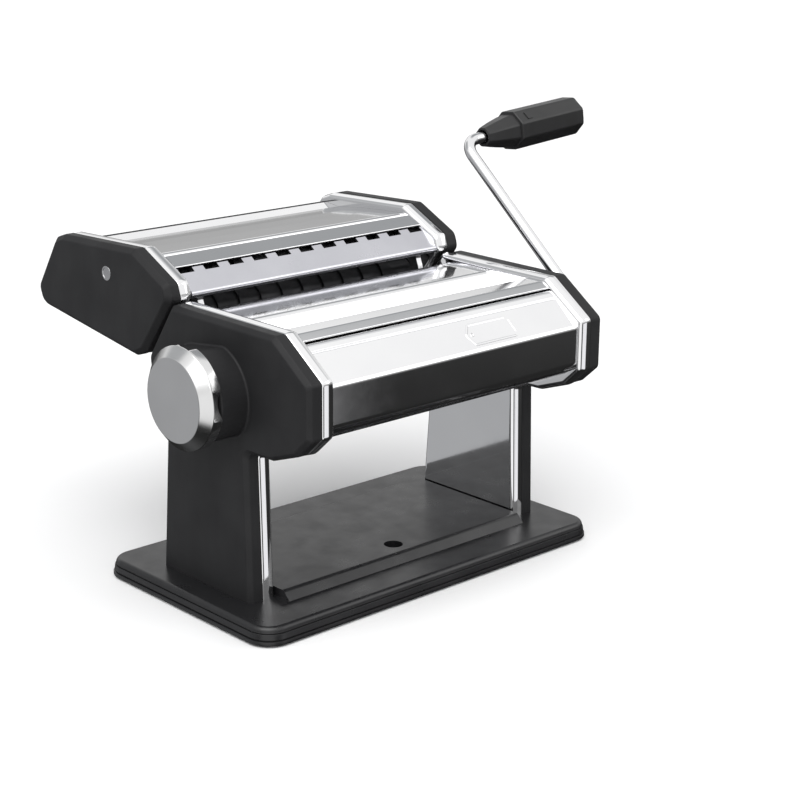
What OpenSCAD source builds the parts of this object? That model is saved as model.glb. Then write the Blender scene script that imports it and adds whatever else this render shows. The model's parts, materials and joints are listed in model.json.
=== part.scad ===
// Manual pasta roller with a hooked-on noodle cutter head, cranked by hand.
// Frame: origin on the ground under the middle of the body, +X towards the crank, -Y the front, +Z up.
// All sizes are in millimetres.

/* [Rollers] */
// length of the smooth rollers between the side plates
roller_len = 150; // [140:1:170]
// diameter of both smooth rollers
roller_d = 29; // [28:0.5:29]
// gap between the smooth rollers at the widest setting
gap_wide = 2.5; // [2:0.1:2.6]
// gap between the smooth rollers at the finest setting
gap_fine = 0.3; // [0.2:0.1:0.5]
// height of the roller axes above the ground
axis_z = 103; // [102.5:0.5:103.5]

/* [Side frames] */
// width of the bright rim along X
rim_w = 7; // [6.8:0.1:8]
// thickness of the black end caps along X
cap_t = 7.3; // [7:0.1:8]
// size of the bevel round the outer face of the caps
cap_bevel = 2.1; // [1:0.1:2.5]
// thickness of the side plate metal
plate_t = 1.5; // [1:0.1:1.6]

/* [Base] */
// length of the base along X
base_w = 209; // [200:1:230]
// depth of the base along Y
base_d = 121; // [118:1:130]
// height of the top of the base deck
base_h = 9; // [8:0.5:9]
// height of the raised panel between the legs above the deck
plateau_h = 4; // [3:0.5:4]

/* [Crank] */
// diameter of the crank rod
rod_d = 6; // [5:0.5:6.5]
// distance from the drive axis to the axis of the grip bend
crank_len = 121.8; // [110:0.2:126]
// angle of the crank arm above the horizontal, leaning to the back
crank_angle = 40.5; // [0:0.5:90]
// angle the grip leans away from the drive axis
grip_lean = 5.3; // [0:0.1:8]

/* [Knob] */
// largest diameter of the thickness knob
knob_d = 46.2; // [44:0.2:46.6]
// travel of the knob when it is pulled out
knob_pull = 4; // [3:0.5:4]

/* [Cutters] */
// number of cutting discs on each wide cutter roller
wide_n = 11; // [9:1:12]
// number of cutting discs on each narrow cutter roller
narrow_n = 36; // [30:1:38]

/* [Hidden] */

$fn = 96;
eps = 0.01;
run_gap = 0.05;
big = 400;

// faces along X, measured from the middle
in_x = roller_len / 2 + 0.5;
rim_x = in_x + rim_w;
cap_x = rim_x + cap_t;
web_x = in_x + plate_t;
wall_x = cap_x - cap_bevel;
cap_wall = 2;

// roller axes: the knob axis stands on the body centre plane
ecc = (gap_wide - gap_fine) / 2;
roller_r = roller_d / 2;
move_y = ecc;
drive_y = move_y - roller_d - gap_wide;
drive_r = 6;
bush_r = 8;
bush_len = 2.8;
neck_r = 10;
hollow_r = 7.5;
shaft_r = 3;
stub_end_x = 81;
gear_x0 = 80.2;
gear_t = 5.6;
teeth = 12;
drive_end_x = cap_x + 1.5;

// side outline of the body with its legs, (y, z), counter-clockwise
body_pts = [[-36.2, 134.3], [-60, 117.5], [-60, 92.9], [-50.5, 84.2], [-33.8, 78.3],
    [-17.2, 77.9], [-19.4, base_h], [46, base_h], [41, 77], [43.8, 79.5], [51.2, 90],
    [53.2, 108], [35.2, 134.3]];
body_round = [1.5, 3, 2.5, 2, 1, 4, 0, 0, 2, 2, 3, 3, 1.5];
hex_pts = [body_pts[0], body_pts[1], body_pts[2], body_pts[3], body_pts[4], body_pts[9],
    body_pts[10], body_pts[11], body_pts[12]];
hex_round = [1.5, 3, 2.5, 2, 1, 2, 3, 3, 1.5];
leg_pts = [[-17.3, 82], [-19.4, base_h], [46, base_h], [40.6, 82]];
leg_round = [0, 0, 0, 0];

// side outline of the cutter head, (y, z), counter-clockwise
cut_pts = [[63, 154.5], [38.5, 142.5], [36, 135.5], [56.5, 108], [64, 104.7], [139.8, 115.2],
    [143.6, 124.2], [127, 149.8], [120, 152.2]];
cut_round = [4, 3, 2, 3, 3, 4, 4, 3, 3];

// direction in which the cutter head lifts off, along its mating edge
lift = [-0.598, 0.801];
lift_side = [0.801, 0.598];
hook_rod = [42.3, 111.6];

tie_r = 3;
tie_pts = [[-49.5, 112.5], [-49.6, 93.6], hook_rod, [37.4, 86.2]];
tie_end = in_x + 4.4;
nut_r = 5.2;
nut_t = 2.8;

cut_tie_r = 2.5;
cut_tie_pts = [[46.5, 136], [90, 119], [131, 121], [124.5, 136]];
cut_nut_r = 4.2;
cut_side_wall = 1.6;

// cutter roller axes (y, z) and sizes
wide_c = 17;
wide_r = 9;
wide_core = 7.8;
wide_turn = 49;
wide_a = [62.9, 120.1];
wide_b = wide_a + wide_c * [cos(wide_turn), sin(wide_turn)];
narrow_c = 15.2;
narrow_r = 8;
narrow_core = 7;
narrow_turn = -30;
narrow_a = [104.4, 131.3];
narrow_b = narrow_a + narrow_c * [cos(narrow_turn), sin(narrow_turn)];
cut_stub_r = 5.6;
cut_bush_t = 1.2;
socket_r = 4;
socket_flat = 6.4;
socket_depth = 18;
socket_round = 10;
tip_r = 3.7;

// thickness knob
boss_x = cap_x + 14.3;
boss_mid = [2, axis_z - 1.8];
boss_r = 22.2;
knob_back = boss_x + 0.8;
skirt_t = 5;
disc_t = 0.4;
face_x = knob_back + skirt_t + disc_t + 4.4;
pin_ring = 13;

// crank
crank_x = 117.2;
bend_r = 11;
grip_start = 15.5;
grip_step = 36.5;
grip_end = 92;
grip_r = 10.8;

sheet_t = 1;
span = in_x - 0.1;

// ---- helpers ----

// spreads a (y, z) outline along X from x0 to x1
module along_x(x0, x1) {
    translate([x0, 0, 0])
        rotate([90, 0, 90])
            linear_extrude(height = x1 - x0)
                children();
}

// round bar along X at (y, z)
module bar(p, r, x0, x1) {
    translate([x0, p.x, p.y])
        rotate([0, 90, 0])
            cylinder(r = r, h = x1 - x0);
}

function unit(v) = v / norm(v);
function turn_in(a, b) = [a.y - b.y, b.x - a.x] / norm(b - a);

// moves every edge of a counter-clockwise outline inwards by d
function inset(pts, d) = [for (i = [0:len(pts) - 1])
    let (a = pts[(i + len(pts) - 1) % len(pts)], p = pts[i], b = pts[(i + 1) % len(pts)],
        n1 = turn_in(a, p), n2 = turn_in(p, b))
    p + d * (n1 + n2) / (1 + n1 * n2)];

// points of one rounded corner
function corner(a, p, b, r, n) = r <= 0 ? [p] :
    let (u = unit(a - p), v = unit(b - p), w = acos(u * v), t = r / tan(w / 2),
        c = p + unit(u + v) * r / sin(w / 2), s = p + u * t - c, e = p + v * t - c, f = 180 - w)
    [for (k = [0:n]) c + (s * sin((1 - k / n) * f) + e * sin(k / n * f)) / sin(f)];

// rounds every corner of an outline by its own radius
function rounded(pts, rads, n = 5) = [for (i = [0:len(pts) - 1])
    each corner(pts[(i + len(pts) - 1) % len(pts)], pts[i], pts[(i + 1) % len(pts)], rads[i], n)];

// centre line of a bent sheet turned into an outline of the given thickness
function side_shift(pts, i, d) = let (last = len(pts) - 1,
    n1 = i == 0 ? turn_in(pts[0], pts[1]) : turn_in(pts[i - 1], pts[i]),
    n2 = i == last ? turn_in(pts[last - 1], pts[last]) : turn_in(pts[i], pts[i + 1]))
    pts[i] + d * (n1 + n2) / (1 + n1 * n2);
function sheet_outline(pts, t) = concat(
    [for (i = [0:len(pts) - 1]) side_shift(pts, i, 0)],
    [for (i = [len(pts) - 1:-1:0]) side_shift(pts, i, t)]);

module sheet(pts, t, x0, x1) {
    along_x(x0, x1)
        polygon(sheet_outline(pts, t));
}

// involute spur gear outline: n teeth, module m, flanks thinned by slack
function inv_angle(r, rb) = let (c = min(1, rb / r)) (tan(acos(c)) * 180 / PI - acos(c));
function gear_pts(n, m, slack) = let (pa = 25, rp = n * m / 2, rb = rp * cos(pa),
    ra = rp + 0.95 * m, rf = rp - 1.2 * m, half = 90 / n - slack / rp * 90 / PI,
    steps = 6, r0 = max(rb, rf), inv_p = inv_angle(rp, rb))
    [for (i = [0:n - 1]) each concat(
        [let (a = i * 360 / n - half - inv_p) rf * [cos(a), sin(a)]],
        [for (k = [0:steps]) let (r = r0 + (ra - r0) * k / steps,
            a = i * 360 / n - half - inv_p + inv_angle(r, rb)) r * [cos(a), sin(a)]],
        [for (k = [steps:-1:0]) let (r = r0 + (ra - r0) * k / steps,
            a = i * 360 / n + half + inv_p - inv_angle(r, rb)) r * [cos(a), sin(a)]],
        [let (a = i * 360 / n + half + inv_p) rf * [cos(a), sin(a)]])];

// gear across X at (y, z), one tooth pointing at the given angle
module gear(p, m, angle, slack, bore) {
    difference() {
        translate([gear_x0, p.x, p.y])
            rotate([90, 0, 90])
                rotate(angle)
                    linear_extrude(height = gear_t)
                        polygon(gear_pts(teeth, m, slack));
        bar(p, bore, gear_x0 - 1, gear_x0 + gear_t + 1);
    }
}

// bar with two flats
module flat_bar(p, r, flat, x0, x1) {
    intersection() {
        bar(p, r, x0, x1);
        translate([x0, p.x - flat / 2, p.y - r])
            cube([x1 - x0, flat, 2 * r]);
    }
}

// space of a crank socket whose mouth is at x: round first, then with two flats
module socket_space(p, x) {
    bar(p, socket_r + run_gap, x - socket_round, x + 1);
    flat_bar(p, tip_r + run_gap, socket_flat + 0.12, x - socket_depth - 0.5,
        x - socket_round + 1);
}

// flat web with a bright rim standing outwards, on the +X side
module flanged_plate(outline, inner) {
    difference() {
        along_x(in_x, rim_x)
            polygon(outline);
        along_x(web_x, rim_x + 1)
            polygon(inner);
    }
}

// hollow moulded cap over the rim, on the +X side
module cap_shell() {
    along_x(rim_x, wall_x)
        polygon(rounded(hex_pts, hex_round));
    hull() {
        along_x(wall_x - eps, wall_x)
            polygon(rounded(hex_pts, hex_round));
        along_x(cap_x - eps, cap_x)
            polygon(rounded(inset(hex_pts, cap_bevel), hex_round));
    }
    along_x(rim_x, wall_x)
        polygon(leg_pts);
    hull() {
        along_x(wall_x - eps, wall_x)
            polygon(leg_pts);
        along_x(cap_x - eps, cap_x)
            polygon([leg_pts[0] + [cap_bevel, 0], leg_pts[1] + [cap_bevel, 0],
                leg_pts[2] - [cap_bevel, 0], leg_pts[3] - [cap_bevel, 0]]);
    }
}

module cap_hollow() {
    along_x(rim_x - 1, cap_x - cap_wall)
        polygon(inset(body_pts, cap_wall + 0.6));
}

module mirror_x() {
    mirror([1, 0, 0])
        children();
}

module both_sides() {
    children();
    mirror_x()
        children();
}

// ---- base ----

// middle of the base along Y, radius of its corners and heights of its steps
base_y = 12.5;
base_r = 12;
base_z0 = 0.8;
step_z = 3;
shoulder_z = 6.4;
through = 30;

module base_slab(grow, z0, z1) {
    w = base_w / 2 - base_r;
    d = base_d / 2 - base_r;
    translate([0, base_y, z0])
        linear_extrude(height = z1 - z0)
            polygon([for (c = [[1, 1, 0], [-1, 1, 90], [-1, -1, 180], [1, -1, 270]],
                a = [0:10:90])
                [c.x * w + (base_r + grow) * cos(a + c.z),
                c.y * d + (base_r + grow) * sin(a + c.z)]]);
}

foot_pts = [[-88, -32], [88, -32], [-88, 57], [88, 57], [0, 0]];
foot_r = 7;
foot_t = 1.8;
clamp_y = -14;
clamp_r = 4.5;
plateau_x = in_x - 1;
plateau_y0 = -27.5;
plateau_y1 = 52;

module base() {
    color("#1b1b1d")
    difference() {
        union() {
            base_slab(0, base_z0, step_z);
            hull() {
                base_slab(-0.8, step_z - eps, shoulder_z);
                base_slab(-1.4, shoulder_z, base_h - 1.2);
                base_slab(-3.2, base_h - eps, base_h);
            }
            hull() {
                translate([-plateau_x, plateau_y0, base_h - 0.5])
                    cube([2 * plateau_x, plateau_y1 - plateau_y0, 0.5]);
                translate([-plateau_x, plateau_y0 + plateau_h, base_h - 0.5])
                    cube([2 * plateau_x, plateau_y1 - plateau_y0 - 2 * plateau_h,
                        plateau_h + 0.5]);
            }
        }
        for (p = foot_pts)
            translate([p.x, p.y, -1])
                cylinder(r = foot_r, h = foot_t + 1);
        translate([0, clamp_y, -1])
            cylinder(r = clamp_r, h = through);
        for (p = screw_pts)
            translate([p.x, p.y, -1])
                cylinder(r = screw_r, h = through);
        for (p = screw_pts)
            translate([p.x, p.y, -1])
                cylinder(r = head_r, h = head_z + head_t + 1);
    }
}

module base_feet() {
    color("#141414")
    for (p = foot_pts)
        translate([p.x, p.y, 0])
            cylinder(r = foot_r, h = foot_t);
}

screw_x = in_x + 3.6;
screw_pts = [[-screw_x, -8], [screw_x, -8], [-screw_x, 34], [screw_x, 34]];
screw_r = 2;
head_r = 3.6;
head_z = 1.2;
head_t = 1.8;

module leg_screws() {
    color("#9a9da0")
    for (p = screw_pts)
        translate([p.x, p.y, 0]) {
            translate([0, 0, head_z])
                cylinder(r = head_r, h = head_t);
            translate([0, 0, head_z + 0.8])
                cylinder(r = screw_r, h = base_h + 1.5);
        }
}

// ---- side frames ----

module side_plate_blank() {
    flanged_plate(rounded(body_pts, body_round), inset(body_pts, plate_t));
}

module side_plate_left() {
    color("#d9dcdf")
    difference() {
        mirror_x()
            side_plate_blank();
        bar([drive_y, axis_z], bush_r, -rim_x, -in_x + 1);
        bar([0, axis_z], shaft_r + 0.1, -rim_x, -in_x + 1);
        for (p = tie_pts)
            bar(p, tie_r, -rim_x, -in_x + 1);
        for (p = screw_pts)
            translate([p.x, p.y, base_h - 1])
                cylinder(r = screw_r, h = 6);
    }
}

module side_plate_right() {
    color("#d9dcdf")
    difference() {
        side_plate_blank();
        bar([drive_y, axis_z], bush_r, in_x - 1, rim_x);
        along_x(in_x - 1, rim_x)
            union() {
                translate([-ecc, axis_z])
                    circle(r = neck_r + 0.6);
                translate([ecc, axis_z])
                    circle(r = neck_r + 0.6);
                translate([-ecc, axis_z - neck_r - 0.6])
                    square([2 * ecc, 2 * neck_r + 1.2]);
            }
        for (p = tie_pts)
            bar(p, tie_r, in_x - 1, rim_x);
        for (p = screw_pts)
            translate([p.x, p.y, base_h - 1])
                cylinder(r = screw_r, h = 6);
    }
}

// outline of the boss under the knob: round at the front, trailing off to the back
boss_pts = concat([for (a = [105:8:217]) boss_mid + boss_r * [cos(a), sin(a)]],
    [[-12.8, 85.4], [4, 80], [9, 79.2], [14.5, 80], [22.5, 84], [28, 92.5], [27.5, 118.6]]);

module boss_outline(grow) {
    polygon(inset(boss_pts, -grow));
}

module end_cap_left() {
    color("#1d1d1f")
    difference() {
        union() {
            mirror_x()
                difference() {
                    cap_shell();
                    cap_hollow();
                }
            along_x(-boss_x, -cap_x + cap_wall)
                boss_outline(0);
            along_x(-cap_x - 1.2, -cap_x + cap_wall)
                boss_outline(1);
        }
        along_x(-boss_x + 5, -cap_x + cap_wall + 1)
            boss_outline(-2.5);
        bar([0, axis_z], shaft_r + 1.08, -boss_x - 1, -rim_x);
        pin_groove();
    }
}

groove_w = 3.6;
groove_depth = 3.6;

// arc groove in the boss face in which the knob pin runs
module pin_groove() {
    translate([-boss_x - 1, 0, axis_z])
        rotate([0, 90, 0])
            rotate([0, 0, 168])
                rotate_extrude(angle = 204)
                    translate([pin_ring - groove_w / 2, 0])
                        square([groove_w, groove_depth + 1]);
}

// pivot boss for the adjusting shaft and collar round the crank socket
pivot_r = 6;
collar_r = 10;

module end_cap_right() {
    color("#1d1d1f")
    difference() {
        union() {
            difference() {
                cap_shell();
                cap_hollow();
            }
            bar([0, axis_z], pivot_r, gear_x0 + gear_t + 0.6, cap_x - 1);
            bar([drive_y, axis_z], collar_r, cap_x - 1, cap_x + 0.8);
        }
        bar([0, axis_z], shaft_r + run_gap, gear_x0, cap_x - 1.6);
        bar([drive_y, axis_z], drive_r + 0.6, rim_x, cap_x + 5);
    }
}

// ---- covers and guides ----

lip = [-41.4, 127.6];
fold = [-57.7, 114.4];
hem = [-57.7, 96.4];

module front_cover() {
    color("#e3e6e8")
    sheet([[-37.6, 128.2], [-39.8, 128.6], lip, fold, hem, [-54.8, 93.6]], sheet_t, -span, span);
}

badge_w = 30;
badge_h = 12;

// plain badge without any mark, set on the sloping upper front panel
module front_badge() {
    along = unit(lip - fold);
    mid = fold + 0.42 * (lip - fold);
    color("#e9ebec")
    translate([24, mid.x, mid.y])
        rotate([atan2(along.y, along.x), 0, 0])
            translate([-badge_w / 2, -badge_h / 2, 0])
                linear_extrude(height = 0.25)
                    polygon([[2, 0], [badge_w - 2, 0], [badge_w, 2.5], [badge_w, badge_h - 2.5],
                        [badge_w - 2, badge_h], [4, badge_h], [0, badge_h / 2 + 1],
                        [0, badge_h / 2 - 1]]);
}

module rear_cover() {
    color("#d2d5d8")
    sheet([[45, 82.6], [49.2, 90.4], [49.6, 99.5], [46.8, 99.5]], sheet_t, -span, span);
}

module front_guard() {
    color("#e6e8ea")
    sheet([[-22, 119], [-23.2, 130.4], [-24.6, 132.2], [-34.6, 132.2], [-38.8, 129.8]],
        sheet_t, -span, span);
}

module rear_guide() {
    color("#cfd0dc")
    sheet([[27.8, 128.4], [27.8, 131], [14, 131.2], [1.6, 131.2], [-0.2, 130], [-8, 119.4]],
        sheet_t, -span, span);
}

module tie_rods() {
    color("#b9bcbf")
    for (p = tie_pts)
        bar(p, tie_r, -tie_end, tie_end);
}

module tie_rod_nuts() {
    color("#b9bcbf")
    for (p = tie_pts, side = [-1, 1])
        difference() {
            translate([side > 0 ? web_x : -web_x - nut_t, p.x, p.y])
                rotate([0, 90, 0])
                    cylinder(r = nut_r, h = nut_t, $fn = 6);
            bar(p, tie_r, -big, big);
        }
}

module front_scraper() {
    color("#c4c7c9")
    sheet([[drive_y + 4.4, 79.2], [drive_y + 8.2, 80], [drive_y + 10.6, 91]], 0.8,
        -in_x, in_x);
}

module rear_scraper() {
    color("#c4c7c9")
    sheet([[-12.2, 91], [-9.6, 80], [-5.6, 79.2]], 0.8, -in_x, in_x);
}

// ---- smooth rollers ----

module drive_bushes() {
    color("#b08d57")
    both_sides()
        difference() {
            bar([drive_y, axis_z], bush_r, in_x - 0.2, in_x + bush_len);
            bar([drive_y, axis_z], drive_r + run_gap, in_x - 1, in_x + 4);
        }
}

module drive_roller() {
    color("#c9cccf")
    difference() {
        union() {
            bar([drive_y, axis_z], roller_r, -in_x + 0.5, in_x - 0.5);
            bar([drive_y, axis_z], drive_r, -stub_end_x, drive_end_x);
        }
        socket_space([drive_y, axis_z], drive_end_x);
    }
}

gear_m = (roller_d + gap_fine) / teeth;
gear_slack = 0.12;

module drive_gear() {
    color("#8f9396")
    gear([drive_y, axis_z], gear_m, 0, gear_slack, drive_r);
}

slide_hole = 5.4;
journal_r = 4;
journal_x = 58;

module slide_bushes() {
    color("#b08d57")
    both_sides()
        difference() {
            bar([move_y, axis_z], hollow_r - run_gap, journal_x, in_x - 1);
            bar([move_y, axis_z], slide_hole, journal_x - 1, in_x);
        }
}

module moving_roller() {
    color("#c9cccf")
    difference() {
        union() {
            bar([move_y, axis_z], roller_r, -in_x + 0.5, in_x - 0.5);
            bar([move_y, axis_z], neck_r, in_x - 1, gear_x0 + gear_t);
        }
        bar([move_y, axis_z], hollow_r, -in_x, gear_x0 + gear_t + 1);
    }
}

module moving_gear() {
    color("#8f9396")
    gear([move_y, axis_z], gear_m, 180 + 180 / teeth, gear_slack, neck_r);
}

shaft_flat = 5;

module adjusting_shaft() {
    color("#a9acaf")
    difference() {
        union() {
            bar([0, axis_z], shaft_r, -in_x - 1, cap_x - 2.2);
            both_sides()
                bar([ecc, axis_z], journal_r, journal_x, in_x - 1);
            bar([0, axis_z], shaft_r, -boss_x, -in_x + 1);
            flat_bar([0, axis_z], shaft_r, shaft_flat, -knob_back - screw_x0, -boss_x + 1);
        }
        bar([0, axis_z], screw_core, -knob_back - 8, -knob_back - 1);
    }
}

// ---- thickness knob ----

// grip ring: outer radius, and radius, distance and turn of its four hollows
skirt_r = knob_d / 2 - 0.3;
dip_r = 7;
dip_at = knob_d / 2 + 2.9;
lobe_turn = 3;
hub_r = 6.6;
web_t = 2;
pin_r = 1.5;
screw_core = 1.25;
screw_x0 = 6.7;

module knob_body() {
    color("#d6d9dc")
    difference() {
        bar([0, axis_z], skirt_r, -knob_back - skirt_t, -knob_back);
        for (a = [0, 90, 180, 270])
            translate([-knob_back - skirt_t + 1, 0, axis_z])
                rotate([a - lobe_turn, 0, 0])
                    translate([0, -dip_at, 0])
                        rotate([0, 90, 0])
                            cylinder(r = dip_r, h = skirt_t);
        flat_bar([0, axis_z], shaft_r + 0.08, shaft_flat + 0.16, -knob_back - 3, -knob_back + 1);
        bar([0, axis_z], hub_r, -knob_back - skirt_t - 1, -knob_back - web_t);
        bar([0, axis_z + pin_ring], pin_r, -knob_back - web_t, -knob_back + 1);
    }
}

module knob_cap() {
    rim_r = knob_d / 2;
    face_r = 18.4;
    depth = face_x - knob_back - skirt_t;
    color("#dfe2e4")
    translate([-knob_back - skirt_t, 0, axis_z])
        rotate([0, -90, 0])
            rotate_extrude()
                polygon([[hub_r, 0], [rim_r - 0.3, 0], [rim_r, 0.2], [rim_r, disc_t],
                    [rim_r - 0.3, disc_t + 0.4], [face_r + 0.4, depth - 0.25], [face_r, depth],
                    [0, depth], [0, depth - 1.2], [hub_r, depth - 1.2]]);
}

module knob_pin() {
    color("#a9acaf")
    bar([0, axis_z + pin_ring], pin_r, -knob_back - web_t, -knob_back + 3.4);
}

module knob_screw() {
    color("#a9acaf")
    union() {
        bar([0, axis_z], 5.5, -knob_back - screw_x0 - 1.4, -knob_back - screw_x0);
        bar([0, axis_z], screw_core, -knob_back - screw_x0 - 0.1, -knob_back - 1);
    }
}

// ---- crank ----

// places crank pieces drawn in the XY plane onto the drive axis
module crank_frame() {
    translate([0, drive_y, axis_z])
        rotate([crank_angle, 0, 0])
            children();
}

bend_turn = 90 - grip_lean;
bend_cut = bend_r * tan(bend_turn / 2);
bend_lap = 0.1;
stop_r = 5.2;

module rod_along(p, angle, len) {
    translate([p.x, p.y, 0])
        rotate([0, 0, angle])
            rotate([0, 90, 0])
                cylinder(r = rod_d / 2, h = len);
}

module crank_rod() {
    color("#dcdfe1")
    union() {
        crank_tip();
        crank_frame() {
            rod_along([drive_end_x + 0.4, 0], 0, crank_x - bend_r - drive_end_x - 0.4 + bend_lap);
            translate([crank_x - bend_r, bend_r, 0])
                rotate([0, 0, -90])
                    rotate_extrude(angle = 90)
                        translate([bend_r, 0])
                            circle(r = rod_d / 2 - 0.02);
            rod_along([crank_x, bend_r - bend_lap], 90,
                crank_len - bend_cut - bend_r + 2 * bend_lap);
            translate([crank_x + bend_r, crank_len - bend_cut, 0])
                rotate([0, 0, 180 - bend_turn])
                    rotate_extrude(angle = bend_turn)
                        translate([bend_r, 0])
                            circle(r = rod_d / 2 - 0.02);
            rod_along(grip_point(bend_cut - bend_lap), grip_lean, grip_end - 8 - bend_cut);
        }
    }
}

// crank end standing in the drive roller socket: round, with two flats at the tip
module crank_tip() {
    flat_bar([drive_y, axis_z], tip_r, socket_flat, drive_end_x - socket_depth,
        drive_end_x - socket_round + 1);
    bar([drive_y, axis_z], socket_r, drive_end_x - socket_round + 0.6, drive_end_x + 0.6);
    bar([drive_y, axis_z], stop_r, drive_end_x + 0.3, drive_end_x + 2.4);
}

function grip_point(d) = [crank_x + d * cos(grip_lean), crank_len + d * sin(grip_lean)];

module grip_frame() {
    crank_frame()
        translate([crank_x, crank_len, 0])
            rotate([0, 0, grip_lean])
                rotate([0, 90, 0])
                    children();
}

module crank_grip() {
    step_len = grip_end - grip_step;
    color("#202022")
    grip_frame()
        difference() {
            union() {
                translate([0, 0, grip_start])
                    cylinder(r1 = 5.2, r2 = 8.8, h = grip_step - grip_start);
                translate([0, 0, grip_step])
                    rotate([0, 0, 22.5])
                        cylinder(r = grip_r, h = step_len - 4, $fn = 8);
                translate([0, 0, grip_end - 4])
                    rotate([0, 0, 22.5])
                        cylinder(r1 = grip_r, r2 = grip_r - 3.4, h = 4, $fn = 8);
            }
            translate([0, 0, grip_start - 1])
                cylinder(r = rod_d / 2 + 0.08, h = grip_end - grip_start - 6);
            translate([0, 0, grip_start - 1])
                cylinder(r = rod_d / 2 + 0.9, h = 2.6);
            latch_block(0);
        }
}

latch_z = grip_step + 6.5;

module latch_block(grow) {
    rotate([0, 0, 180])
        translate([grip_r * cos(22.5) - 1.2, -2.2, latch_z])
            cube([1.2 + grow, 4.4, 3.4]);
}

module grip_latch() {
    color("#2a2a2d")
    grip_frame()
        latch_block(0.35);
}

// ---- cutter head ----

module cutter_plate_right() {
    color("#d9dcdf")
    difference() {
        flanged_plate(rounded(cut_pts, cut_round), inset(cut_pts, plate_t));
        cutter_holes();
    }
}

module cutter_plate_left() {
    color("#d9dcdf")
    mirror_x()
        difference() {
            flanged_plate(rounded(cut_pts, cut_round), inset(cut_pts, plate_t));
            cutter_holes();
        }
}

module cutter_holes() {
    for (p = [wide_a, wide_b, narrow_a, narrow_b])
        bar(p, cut_stub_r + cut_bush_t, in_x - 1, rim_x);
    for (p = cut_tie_pts)
        bar(p, cut_tie_r, in_x - 1, rim_x);
}

module cutter_cap_blank() {
    difference() {
        union() {
            along_x(rim_x, wall_x)
                polygon(rounded(cut_pts, cut_round));
            hull() {
                along_x(wall_x - eps, wall_x)
                    polygon(rounded(cut_pts, cut_round));
                along_x(cap_x - eps, cap_x)
                    polygon(rounded(inset(cut_pts, cap_bevel), cut_round));
            }
        }
        along_x(rim_x - 1, cap_x - cap_wall)
            polygon(inset(cut_pts, cut_side_wall));
    }
}

disc_pt = [83.4, 140];
disc_r = 3.45;

module cutter_cap_left() {
    color("#1d1d1f")
    difference() {
        mirror_x()
            cutter_cap_blank();
        bar(disc_pt, disc_r, -cap_x - 1, -cap_x + cap_wall + 1);
    }
}

module cutter_cap_disc() {
    color("#cfd2d4")
    bar(disc_pt, disc_r, -cap_x - 0.3, -cap_x + cap_wall);
}

module cutter_cap_right() {
    color("#1d1d1f")
    difference() {
        cutter_cap_blank();
        for (p = [wide_b, narrow_b])
            bar(p, cut_stub_r + 0.6, rim_x, cap_x + 1);
    }
}

module cutter_rear_cover() {
    color("#151517")
    along_x(-span, span)
        polygon([[123.4, 147.4], [120.6, 144.6], [121.6, 143.2], [124.6, 144.2], [139, 123.8],
            [136.4, 118], [138.8, 116.9], [141.6, 124], [126.4, 147.2]]);
}

module cutter_rear_guide() {
    color("#cdd0d6")
    sheet([[121.6, 147.6], [112.5, 146.4], [95, 148.4], [80, 149.4], [63, 150.3],
        [61.4, 149.6], [61, 147.4]], sheet_t, -span, span);
}

module cutter_mid_guide() {
    color("#d8dadd")
    along_x(-span, span)
        polygon([[58.6, 146.6], [59, 149.3], [57.9, 150.2], [49.6, 146.4], [50.1, 145.3],
            [57.3, 148.6], [57.6, 146.6]]);
}

comb_n = 11;
comb_pitch = 14.1;
comb_start = 0.6;
notch_w = 8;
notch_depth = 2.7;
plate_back = [49.2, 145.39];
plate_front = [38.7, 137.6];

module cutter_front_plate() {
    along = unit(plate_back - plate_front);
    color("#cfd0da")
    difference() {
        union() {
            sheet([plate_back, plate_front], 1.2, -span, span);
            bar([39.6, 135.8], 1.7, -span, span);
        }
        for (k = [0:comb_n - 1])
            translate([-span + comb_start + k * comb_pitch, plate_back.x, plate_back.y])
                rotate([atan2(along.y, along.x), 0, 0])
                    translate([0, -notch_depth, -3])
                        cube([notch_w, notch_depth + 2, 6]);
    }
}

module cutter_tie_rods() {
    color("#b9bcbf")
    for (p = cut_tie_pts)
        bar(p, cut_tie_r, -tie_end, tie_end);
}

module cutter_nuts() {
    color("#b9bcbf")
    for (p = cut_tie_pts, side = [-1, 1])
        difference() {
            translate([side > 0 ? web_x : -web_x - nut_t, p.x, p.y])
                rotate([0, 90, 0])
                    cylinder(r = cut_nut_r, h = nut_t, $fn = 6);
            bar(p, cut_tie_r, -big, big);
        }
}

hook_t = 3;
hook_x = 66;

// point given by its distances along and across the lift direction from the hook rod
function hook_pt(s, p) = hook_rod + s * lift + p * lift_side;

module cutter_hooks() {
    color("#b9bcbf")
    both_sides()
        difference() {
            along_x(hook_x, hook_x + hook_t)
                polygon([hook_pt(6.5, -6.2), hook_pt(-5, -6.2), hook_pt(-5, 10), hook_pt(8, 10),
                    hook_pt(12, 16), hook_pt(13, 22), hook_pt(20.6, 22), hook_pt(20.6, 15),
                    hook_pt(16, 12), hook_pt(11, 4), hook_pt(6.5, -3)]);
            bar(hook_rod, tie_r + 0.1, hook_x - 1, hook_x + hook_t + 1);
            along_x(hook_x - 1, hook_x + hook_t + 1)
                polygon([hook_pt(0, -tie_r - 0.1), hook_pt(-9, -tie_r - 0.1),
                    hook_pt(-9, tie_r + 0.1), hook_pt(0, tie_r + 0.1)]);
            bar(cut_tie_pts[0], cut_tie_r, hook_x - 1, hook_x + hook_t + 1);
        }
}

module cutter_bushes() {
    color("#b08d57")
    both_sides()
        for (p = [wide_a, wide_b, narrow_a, narrow_b])
            difference() {
                bar(p, cut_stub_r + cut_bush_t, in_x - 0.2, in_x + bush_len);
                bar(p, cut_stub_r + run_gap, in_x - 1, in_x + 4);
            }
}

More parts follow.
